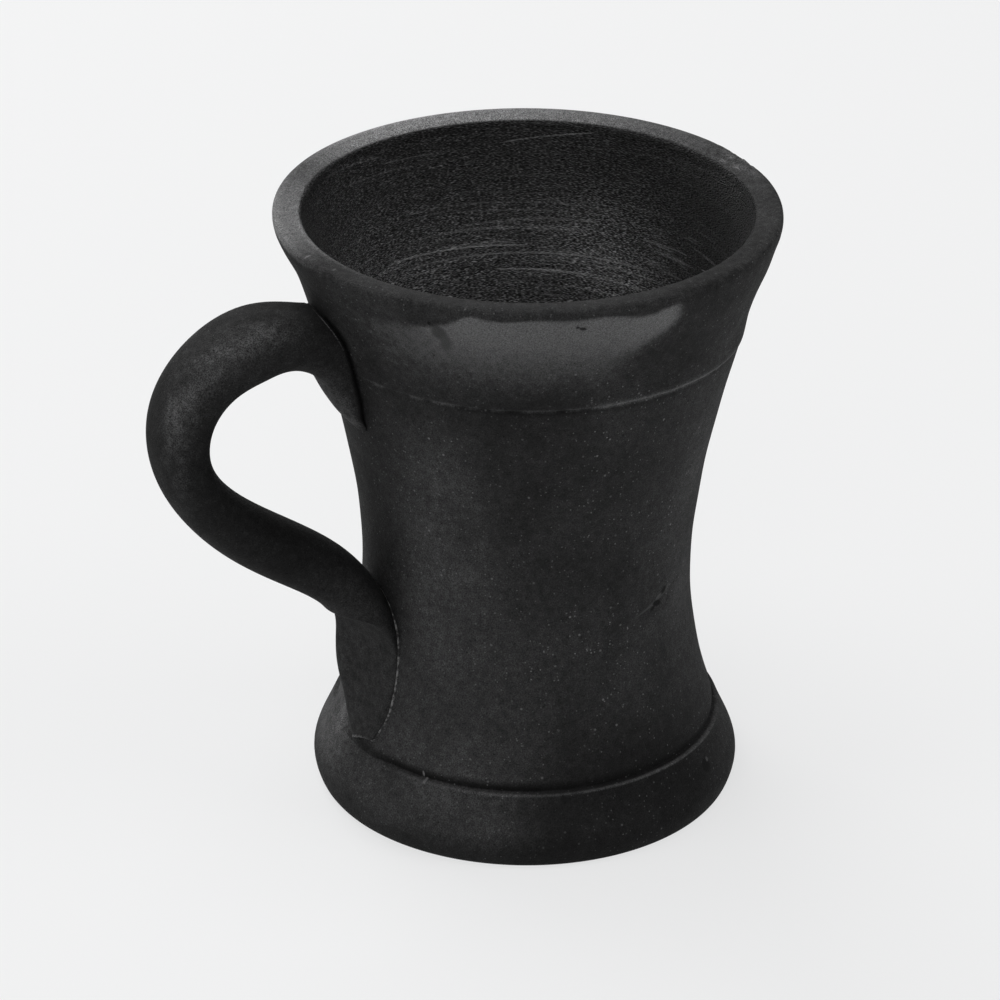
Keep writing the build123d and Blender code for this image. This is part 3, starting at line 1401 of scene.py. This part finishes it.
        # Painted light and shade outside and in the cup, painted shade towards the base and in the groove,
        # a painted highlight on the ledge, and the incised line's painted edges.
        outer = 1.0 + sum(patch.at(theta, height) for patch in self.outer_patches)
        inner = 1.0 + sum(patch.at(theta, height) for patch in self.inner_patches)
        outer = outer * (1 - self.foot_dark * smooth(*self.foot_dark_zone, height))
        shelf = span(*self.shelf_zone, height) * smooth(*self.shelf_outer, radius)
        outer = outer + self.shelf_pale * shelf * facing(*self.shelf_facing, theta)
        shade = self.groove_dark + self.groove_darker * smooth(*self.groove_left, compass(theta))
        outer = outer * (1 - shade * span(*self.groove_zone, height)) + self.line.tone(theta, height)
        return np.maximum(outer * (1 - cup) + inner * cup, self.darkest)

    def dress(self, piece: Thing, clay: Material) -> None:
        """Gives the cup its finish and puts it in the frame.

        Args:
            piece: The cup.
            clay: Its finish.
        """
        piece.data.materials.append(clay)
        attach(piece, "root")
        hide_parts("thrown_body")


class HandleEnd(Enum):
    """The two places where the handle is luted to the wall."""

    ROOT = "root"
    TAIL = "tail"


@dataclass
class PulledHandle:
    """The pulled strap from its flared root to its pressed tail.

    Sizes are in millimetres, reach from the mug's axis. Places are distances along the middle line.
    A range of turns across the strap is given by cosine or sine: 1 is its outer or far side.
    Shares of rub are for streak, tongue and tail, shares of wear and painted highlight for streak, tongue
    and tip.
    """

    body: ThrownBody
    columns: int = 112
    rows: int = 240
    crowding: float = 0.75
    middle: tuple = (
        (33.0, 98.0), (38.0, 99.0), (42.0, 99.8), (46.0, 100.3), (55.0, 101.3), (64.1, 97.8), (69.9, 90.0),
        (70.6, 81.0), (67.3, 72.6), (60.6, 65.1), (49.0, 56.8), (40.0, 49.2), (34.4, 39.5), (33.6, 28.5),
        (34.7, 22.2), (36.6, 16.3),
    )
    over: tuple = (5.0, 5.2, 5.5, 6.0, 6.4, 6.0, 5.6, 5.1, 5.0, 5.4, 5.7, 5.4, 6.0, 6.3, 4.2, 2.6)
    under: tuple = (16.8, 12.8, 8.3, 5.5, 6.2, 6.0, 5.4, 4.7, 5.1, 5.5, 5.6, 5.4, 5.0, 4.4, 3.4, 2.6)
    half_width: tuple = (8.8, 8.7, 8.6, 8.5, 8.3, 8.2, 8.0, 7.8, 7.7, 7.7, 7.8, 8.3, 8.9, 8.9, 7.3, 3.2)
    drift: tuple = (0.0,) * 13 + (-0.2, -1.4, -4.1)
    tip_lean: float = 0.33
    tip_drop: float = 0.8
    squareness: float = 2.25
    lump: float = 0.12
    root_zone: Pair = (18, 7)
    tongue_square: float = 0.8
    tongue_skew: float = 0.1
    facet_bearing: float = 198.0
    facet_stand: float = 0.9
    facet_top: float = 34.2
    facet_round: float = 10.0
    facet_soft: float = 1.0
    facet_clear: float = 40.0
    facet_blend: float = 1.5
    facet_end: float = 54.0
    upper_zone: Pair = (60, 75)
    crevice: float = 1.0
    crevice_open: float = 0.5
    crevice_front: Pair = (0.5, -0.6)
    crevice_end: Pair = (-0.86, -0.7)
    tongue_sunk: float = 1.2
    tongue_zone: Pair = (-0.78, -0.92)
    search_steps: int = 1600
    tail_soft: int = 9
    tail_soft_width: float = 7.0
    sunk: float = 1.2
    root_sunk: float = 0.5
    brink: float = 0.12
    edge_roll: float = 0.012
    edge_fade: float = 1.5
    edge_zone: Pair = (0.5, 0)
    edge_heights: Pair = (84, 90)
    # Overall tone of the strap, darker than the body's.
    smoke_level: float = 0.76
    # Painted shade on the arm, over the neck under the crown and at the root's edge by the crevice.
    arm_dark: float = 0.3
    arm_zone: tuple = ((30, 52), (86, 100))
    neck_dark: float = 0.35
    neck_zone: Pair = (22, 10)
    neck_side: Pair = (-0.6, 0)
    rim_dark: float = 0.4
    rim_zone: Pair = (0.8, 0)
    rim_side: Pair = (-0.1, -0.5)
    # Painted shade: the root's faces inside the crevice are made near black.
    hidden_smoke: float = 0.15
    grit_level: float = 0.1
    grit_more: float = 0.25
    grit_zone: tuple = ((14, 24), (36, 60))
    # Streak along the crown: wear, with a painted highlight.
    streak_bearing: float = 312.0
    streak_wide: float = 42.0
    streak_sway: float = 8.0
    streak_ragged: float = 0.3
    streak_zone: tuple = ((14, 24), (38, 62))
    tongue_run: Pair = (16, 4)
    tongue_side: Pair = (-0.3, -0.8)
    tongue_start: Pair = (0, 2.5)
    tail_heights: Pair = (41, 36)
    rub_shares: tuple = (0.2, 0.3, 0.15)
    wear_and_highlight_shares: tuple = (0.24, 0.1, 0.6)
    # Painted highlights on the root's upper edge and at the tail's tip.
    edge_highlight: Pair = (0.34, 0.05)
    edge_facing: Pair = (322, 40)
    tip_highlight: Pair = (0.5, 0.1)
    tip_facing: Pair = (15, 70)
    tip_heights: Pair = (19, 17.5)
    places: Array = field(init=False)
    path: Callable = field(init=False)
    sizes: Callable = field(init=False)

    def __post_init__(self) -> None:
        """Prepares the middle line and the sizes along it."""
        points = np.array(self.middle)
        steps = np.linalg.norm(np.diff(points, axis=0), axis=1)
        self.places = np.concatenate([[0.0], np.cumsum(steps)])
        self.path = curve_through(self.places, points)
        table = np.array([self.over, self.under, self.half_width, self.drift]).T
        self.sizes = curve_through(self.places, table)

    def surface(self, place: Array, phi: Array) -> Array:
        """Gives points on the strap's skin before it is cut to the wall.

        Args:
            place: Distances along the middle line.
            phi: Bearings round the strap, 0 on its outer side.

        Returns:
            Points in the mug's frame.
        """
        near = 0.05
        middle = self.path(place)
        ahead = self.path(place + near) - self.path(place - near)
        ahead = ahead / np.linalg.norm(ahead, axis=-1, keepdims=True)
        over, under, half, drift = np.moveaxis(self.sizes(place), -1, 0)
        out, side = np.cos(phi), np.sin(phi)
        root = smooth(*self.root_zone, place)
        power = 2.0 / (self.squareness + self.tongue_square * root * (out < 0))
        out = np.sign(out) * np.abs(out) ** power
        side = np.sign(side) * np.abs(side) ** power
        lump = self.lump * Wander(41, 3, 24).at(phi, place)
        under = under * (1 - self.tongue_skew * root * side)
        lift = (np.where(out > 0, over, under) + lump) * out
        reach = middle[..., 0] - ahead[..., 1] * lift
        height = middle[..., 1] + ahead[..., 0] * lift
        tip = smooth(self.places[-2], self.places[-1], place)
        height = height - tip * (self.tip_drop + self.tip_lean * half * side)
        points = np.stack([-reach, drift + (half + lump) * side, height], -1)
        return self.press(points, place)

    def press(self, points: Array, place: Array) -> Array:
        """Presses the tail flat with the thumb, from the front.

        Args:
            points: Points on the strap.
            place: Their distances along the middle line.

        Returns:
            The pressed points.
        """
        bearing = math.radians(self.facet_bearing)
        way = np.array([math.cos(bearing), math.sin(bearing), 0.0])
        height = points[..., 2]
        above = np.clip(height - self.facet_top, 0, self.facet_round)
        ramp = self.facet_round - np.sqrt(np.maximum(self.facet_round**2 - above**2, 0.0))
        limit = self.body.wall_at(height) + self.facet_stand + ramp
        start = self.facet_top + self.facet_round - self.facet_blend
        limit = limit + self.facet_clear * smooth(start, self.facet_end, height)
        pushed = self.facet_soft * np.logaddexp(0.0, (points @ way - limit) / self.facet_soft)
        pushed = pushed * smooth(self.places[-7], self.places[-6], place)
        return points - pushed[..., None] * way

    def clearance(self, points: Array, phi: Array) -> Array:
        """Gives how far points stand off the wall, less the crevice left round the root.

        Args:
            points: Points on the strap.
            phi: Their bearings round the strap.

        Returns:
            Distances in millimetres, below 0 inside the wall.
        """
        height = points[..., 2]
        stand = np.hypot(points[..., 0], points[..., 1]) - self.body.wall_at(height)
        front = smooth(*self.crevice_front, np.sin(phi))
        gap = self.crevice * vary(self.crevice_open, front) * smooth(*self.crevice_end, np.cos(phi))
        gap = gap - self.tongue_sunk * smooth(*self.tongue_zone, np.cos(phi))
        return stand - gap * smooth(*self.upper_zone, height)

    def ends(self, phi: Array) -> tuple[Array, Array]:
        """Finds where each line along the strap leaves the wall and comes back to it.

        Args:
            phi: Bearings round the strap.

        Returns:
            First and last place of each line.
        """
        place = np.linspace(0.0, self.places[-1], self.search_steps)
        grid = self.clearance(self.surface(place[:, None], phi[None, :]), phi[None, :]) > 0
        third = len(place) // 3
        first = np.array([place[np.argmax(column[:third])] for column in grid.T])
        later = ~grid[third:]
        last = np.where(later.any(0), place[third + np.argmax(later, 0)], self.places[-1])
        shifts = range(-self.tail_soft, self.tail_soft + 1)
        shares = bell(np.array(shifts), self.tail_soft_width)
        shares = shares / shares.sum()
        return first, sum(np.roll(last, shift) * share for shift, share in zip(shifts, shares))

    def outline(self, end: HandleEnd) -> Array:
        """Gives the loop where the strap meets the wall.

        Args:
            end: Which end of the strap.

        Returns:
            Points in the mug's frame.
        """
        phi = bearings(self.columns)
        first, last = self.ends(phi)
        return self.surface(first if end is HandleEnd.ROOT else last, phi)

    def build(self) -> Thing:
        """Makes the strap's mesh and marks where it is burnished or worn, and where highlights and shade
        are painted.

        Returns:
            The strap.
        """
        phi = bearings(self.columns)
        first, last = self.ends(phi)
        share = np.linspace(0.0, 1.0, self.rows)
        share = share - self.crowding * np.sin(math.tau * share) / math.tau
        place = first[None, :] + (last - first)[None, :] * share[:, None]
        points = self.surface(place, phi[None, :])
        points = self.round_edge(points, place - first[None, :])
        root, tail = points[0], points[-1]
        behind = self.sink(root, 0.0, self.root_sunk)
        under = self.sink(tail, self.sunk, 1.0)
        brink = (1 - self.brink) * root + self.brink * behind
        rings = np.concatenate([behind[None], brink[None], points, under[None]])
        rows = len(rings)
        faces = tube_faces(rows, self.columns)
        faces += self.across(0) + self.across((rows - 1) * self.columns)
        piece = mesh_object("pulled_handle", rings.reshape(-1, 3), faces)
        along = np.concatenate([place[:1], place[:1], place, place[-1:]])
        around = np.broadcast_to(phi, along.shape)
        rubbed, worn = self.rubbed(along, around, rings)
        smoke = self.smoke(along, around)
        rubbed[:2] = worn[:2] = 0.0
        # Painted shade on the root's faces inside the crevice.
        smoke[:2] = self.hidden_smoke
        grit = self.grit_level + self.grit_more * span(*self.grit_zone, along)
        inside = np.zeros(rubbed.size)
        mark_vertices(piece, inside=inside, rubbed=rubbed, worn=worn, smoke=smoke, grit=grit)
        return piece

    def round_edge(self, points: Array, from_root: Array) -> Array:
        """Rolls the root's edge in a little, so that it meets the wall in a soft crevice.

        Args:
            points: Points on the strap, row by row from the root.
            from_root: Their distances from the root's edge.

        Returns:
            The points with the edge rolled in.
        """
        centre = points[:1].mean(axis=1, keepdims=True)
        pull = self.edge_roll * smooth(*self.edge_zone, from_root) ** self.edge_fade
        pull = pull * smooth(*self.edge_heights, points[..., 2])
        away = (points - centre) * np.array([0.0, 1.0, 1.0])
        return points - away * pull[..., None]

    def sink(self, loop: Array, depth: float, share: float) -> Array:
        """Carries an end's loop on towards the mug's axis, so that the end is closed inside the wall.

        Args:
            loop: Points round the end.
            depth: How deep in the wall the way ends.
            share: How much of the way the loop is carried.

        Returns:
            The carried points.
        """
        radius = np.hypot(loop[:, 0], loop[:, 1])[:, None]
        wall = self.body.wall_at(loop[:, 2])[:, None]
        inward = np.concatenate([loop[:, :2] * (wall - depth) / radius, loop[:, 2:]], 1)
        return loop * (1 - share) + inward * share

    def across(self, start: int) -> Faces:
        """Closes a ring by quads from side to side.

        Args:
            start: Index of the ring's first vertex.

        Returns:
            The faces' vertex indices.
        """
        quads = []
        for step in range(self.columns // 2):
            other, beyond = (self.columns - step) % self.columns, self.columns - step - 1
            loop = tuple(dict.fromkeys((start + step, start + step + 1, start + beyond, start + other)))
            if len(loop) > 2:
                quads.append(loop)
        return quads

    def rubbed(self, place: Array, phi: Array, points: Array) -> tuple[Array, Array]:
        """Marks the streak along the outer side, worn and with a painted highlight, the wiped tongue, the
        pressed tail, and painted highlights on the root's edge and the tip.

        Args:
            place: Distances along the middle line.
            phi: Bearings round the strap.
            points: Points on the strap.

        Returns:
            How burnished and how worn or lit by painted highlight each point is.
        """
        height, from_root, to_tip = points[..., 2], place - place[:1], place[-1:] - place
        ragged = Wander(51, 9, 7).at(phi, place)
        streak = bell(turn_from(self.streak_bearing, phi) - self.streak_sway * ragged, self.streak_wide)
        streak = streak * span(*self.streak_zone, place)
        tongue = smooth(*self.tongue_run, place) * smooth(*self.tongue_side, np.cos(phi))
        tongue = tongue * smooth(*self.tongue_start, from_root)
        tail = smooth(*self.tail_heights, height) * smooth(self.places[-6], self.places[-5], place)
        edge = smooth(*self.edge_highlight, from_root) * facing(*self.edge_facing, phi)
        tip = smooth(*self.tip_highlight, to_tip) * facing(*self.tip_facing, phi)
        tip = tip * smooth(*self.tip_heights, height)
        rubs = [share * zone for share, zone in zip(self.rub_shares, (streak, tongue, tail))]
        worn = (streak * vary(self.streak_ragged, ragged), tongue, tip)
        wears = [share * zone for share, zone in zip(self.wear_and_highlight_shares, worn)]
        return np.maximum.reduce(rubs), np.maximum.reduce([*wears, edge])

    def smoke(self, place: Array, phi: Array) -> Array:
        """Gives the tone of the smoky black with painted shade: deeper on the arm, over the neck and at the
        root's edge.

        Args:
            place: Distances along the middle line.
            phi: Bearings round the strap.

        Returns:
            Tones, 1 as usual.
        """
        out = np.cos(phi)
        neck = smooth(*self.neck_zone, place) * smooth(*self.neck_side, out)
        edge = smooth(*self.rim_zone, place - place[:1]) * smooth(*self.rim_side, out)
        arm = span(*self.arm_zone, place)
        return self.smoke_level - self.arm_dark * arm - self.neck_dark * neck - self.rim_dark * edge

    def dress(self, piece: Thing, clay: Material) -> None:
        """Gives the strap its finish and puts it in the frame.

        Args:
            piece: The strap.
            clay: Its finish.
        """
        piece.data.materials.append(clay)
        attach(piece, "root")
        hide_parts("handle")


@dataclass
class SlipJoint:
    """The layer of slip between one end of the handle and the wall. Sizes in millimetres.

    The bead's shape is each ring's distance from the edge and its share of the bead's height.
    """

    handle: PulledHandle
    end: HandleEnd
    spread: float
    stand: float
    bead: float
    sunk: float = 0.4
    uneven: float = 0.25
    bead_shape: tuple = ((0.06, 0.5), (0.2, 1.0), (0.42, 0.9), (0.62, 0.55))
    inner_edge: float = 0.8
    inner_rings: Pair = (0.7, 0.4)
    tail_thin: float = 0.75
    tail_zone: Pair = (50, 38)

    @property
    def name(self) -> str:
        """Gives the piece's name."""
        return f"{self.end.value}_slip"

    def build(self) -> Thing:
        """Makes a thin closed layer on the wall, with a soft bead round its edge.

        Returns:
            The layer.
        """
        loop = self.handle.outline(self.end)
        mean = float(np.hypot(loop[:, 0], loop[:, 1]).mean())
        flat = np.stack([np.arctan2(loop[:, 1], -loop[:, 0]) * mean, loop[:, 2]], -1)
        centre = (flat.max(0) + flat.min(0)) / 2
        edge = np.roll(flat, -1, 0) - np.roll(flat, 1, 0)
        outward = np.stack([edge[:, 1], -edge[:, 0]], -1)
        tiny = 1e-9
        outward = outward / np.maximum(np.linalg.norm(outward, axis=1, keepdims=True), tiny)
        outward = outward * np.sign(((flat - centre) * outward).sum())
        columns = len(flat)
        uneven = vary(self.uneven, Wander(61, 34, 5).at(np.linspace(0, math.tau, columns), flat[:, 1]))
        if self.end is HandleEnd.TAIL:
            uneven = uneven * vary(self.tail_thin, smooth(*self.tail_zone, flat[:, 1]))
        bead = [(inset, self.bead * share) for inset, share in self.bead_shape]
        profile = [(0.0, -self.sunk), *bead, (self.inner_edge, self.stand)]
        layers = [
            (flat + outward * ((self.spread - inset) * uneven)[:, None], stand * uneven)
            for inset, stand in profile
        ]
        inmost = layers[-1][0]
        level, below = np.full(columns, self.stand), np.full(columns, -self.sunk)
        inner = [centre + (inmost - centre) * share for share in self.inner_rings]
        layers += [(ring, level) for ring in inner] + [(ring, below) for ring in reversed(inner)]
        points = []
        for ring, stand in layers:
            radius = self.handle.body.wall_at(ring[:, 1]) + stand
            turn = ring[:, 0] / mean
            points.append(np.stack([-radius * np.cos(turn), radius * np.sin(turn), ring[:, 1]], -1))
        rows = len(layers)
        top, low, last = (columns * (rows - back) for back in (3, 2, 1))
        faces = tube_faces(rows - 2, columns)
        faces += self.handle.across(top)
        faces += tube_faces(2, columns, low)
        for column in range(columns):
            after = (column + 1) % columns
            faces.append((last + column, last + after, after, column))
        faces += self.handle.across(low)
        return mesh_object(self.name, np.concatenate(points), faces)

    def dress(self, piece: Thing, slip: Material) -> None:
        """Gives the layer its finish and puts it in the frame.

        Args:
            piece: The layer.
            slip: Its finish.
        """
        piece.data.materials.append(slip)
        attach(piece, "root")
        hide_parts("upper_slip" if self.end is HandleEnd.ROOT else "lower_slip")


@dataclass(frozen=True)
class SoftLamp:
    """One square soft lamp, aimed at the mug. Angles in degrees, sizes in metres."""

    name: str
    bearing: float
    elevation: float
    distance: float
    side: float
    radiance: float

    def place(self, target: Vector) -> None:
        """Hangs the lamp.

        Args:
            target: The point that it lights.
        """
        lamp = bpy.data.lights.new(self.name, "AREA")
        lamp.shape = "SQUARE"
        lamp.size = self.side
        lamp.energy = self.radiance * math.pi * self.side**2
        holder = put_in_scene(self.name, lamp)
        turn, rise = math.radians(self.bearing), math.radians(self.elevation)
        way = Vector((math.cos(turn) * math.cos(rise), math.sin(turn) * math.cos(rise), math.sin(rise)))
        holder.location = target + way * self.distance
        holder.rotation_euler = (-way).to_track_quat("-Z", "Y").to_euler()


@dataclass
class Studio:
    """The pale floor, the soft lamps and the camera at the photograph's angle. Sizes in metres."""

    floor_side: float = 6.0
    floor_level: float = 0.72
    floor_rough: float = 0.9
    floor_shine: float = 0.1
    cool: float = -0.004
    glow_level: float = 0.97
    glow_share: float = 0.68
    sky_top: float = 0.36
    sky_edge: float = 0.12
    camera_place: tuple = (-0.30706, -0.60264, 0.39544)
    camera_aim: tuple = (-0.00452, 0.00230, 0.05724)
    camera_roll: float = 0.00422
    lens_px: float = 3942.0
    frame_px: float = 1000.0
    sensor_mm: float = 36.0
    lamp_aim: tuple = (0.0, 0.0, 0.06)
    lamps: tuple = (
        SoftLamp("lamp_top", 150, 76, 2.0, 1.2, 2.6),
        SoftLamp("lamp_back", 95, 31, 1.6, 1.0, 3.4),
        SoftLamp("lamp_left", 172, 28, 1.7, 0.8, 1.6),
        SoftLamp("lamp_right", 322, 40, 1.8, 0.8, 2.6),
        SoftLamp("lamp_front", 235, 34, 2.2, 1.3, 1.6),
    )

    def floor(self) -> None:
        """Lays the pale floor."""
        half = self.floor_side / 2
        mesh = bpy.data.meshes.new("floor")
        corners = [(-half, -half, 0), (half, -half, 0), (half, half, 0), (-half, half, 0)]
        mesh.from_pydata(corners, [], [(0, 1, 2, 3)])
        floor = put_in_scene("floor", mesh)
        material, graph = new_material("pale_floor")
        inputs = {
            "Base Color": grey(self.floor_level, self.cool),
            "Roughness": self.floor_rough,
            "Specular IOR Level": self.floor_shine,
        }
        shader = graph.node("BsdfPrincipled", inputs)
        glow = graph.node("Emission", {"Color": grey(self.glow_level, self.cool), "Strength": 1.0})
        rays = graph.node("LightPath")
        seen = graph.sum("MAXIMUM", rays.outputs["Is Camera Ray"], rays.outputs["Is Glossy Ray"])
        share = graph.times(seen, self.glow_share)
        graph.show(graph.node("MixShader", {0: share, 1: shader.outputs[0], 2: glow.outputs[0]}))
        mesh.materials.append(material)

    def sky(self) -> None:
        """Lights the room evenly, brighter overhead."""
        world = bpy.data.worlds.new("room")
        world.use_nodes = True
        bpy.context.scene.world = world
        graph = Graph(world.node_tree)
        way = graph.node("TexCoord").outputs["Generated"]
        up = graph.node("SeparateXYZ", {0: way}).outputs["Z"]
        level = graph.step(up, 0.0, 1.0, self.sky_edge, self.sky_top)
        back = graph.node("Background", {"Color": grey(1.0), "Strength": level})
        graph.node("OutputWorld", {"Surface": back.outputs[0]})

    def camera(self) -> None:
        """Sets the camera where the photograph was taken."""
        data = bpy.data.cameras.new("camera")
        data.sensor_width = self.sensor_mm
        data.lens = self.lens_px / self.frame_px * self.sensor_mm
        holder = put_in_scene("camera", data)
        eye, aim = Vector(self.camera_place), Vector(self.camera_aim)
        turn = (aim - eye).to_track_quat("-Z", "Y").to_matrix() @ Matrix.Rotation(self.camera_roll, 3, "Z")
        holder.matrix_world = Matrix.Translation(eye) @ turn.to_4x4()
        bpy.context.scene.camera = holder

    def build(self) -> None:
        """Sets up floor, light and camera."""
        self.floor()
        self.sky()
        for lamp in self.lamps:
            lamp.place(Vector(self.lamp_aim))
        self.camera()
        bpy.context.scene.view_settings.view_transform = "Standard"


def main() -> None:
    """Builds every piece in order."""
    logging.basicConfig(level=logging.INFO, format="%(name)s: %(message)s")
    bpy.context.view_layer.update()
    clay = BlackClay().make()
    body = ThrownBody()
    handle = PulledHandle(body)
    upper = SlipJoint(handle, HandleEnd.ROOT, spread=-2.6, stand=0.9, bead=0.9)
    lower = SlipJoint(handle, HandleEnd.TAIL, spread=0.55, stand=0.2, bead=0.34)
    finishes = (
        (body, clay),
        (handle, clay),
        # Painted shade: the slip deep in the crevice is near black.
        (upper, FiredSlip("crevice_slip_painted_shade", level=0.008, rough=0.85).make()),
        # Painted highlight: the seam's slip is pale where its raised edge catches the light.
        (lower, FiredSlip("seam_slip_painted_highlight", level=0.18, rough=0.6).make()),
    )
    for maker, finish in finishes:
        piece = maker.build()
        maker.dress(piece, finish)
        LOG.info("%s has %d faces", piece.name, len(piece.data.polygons))
    Studio().build()
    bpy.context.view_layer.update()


if __name__ == "__main__":
    main()
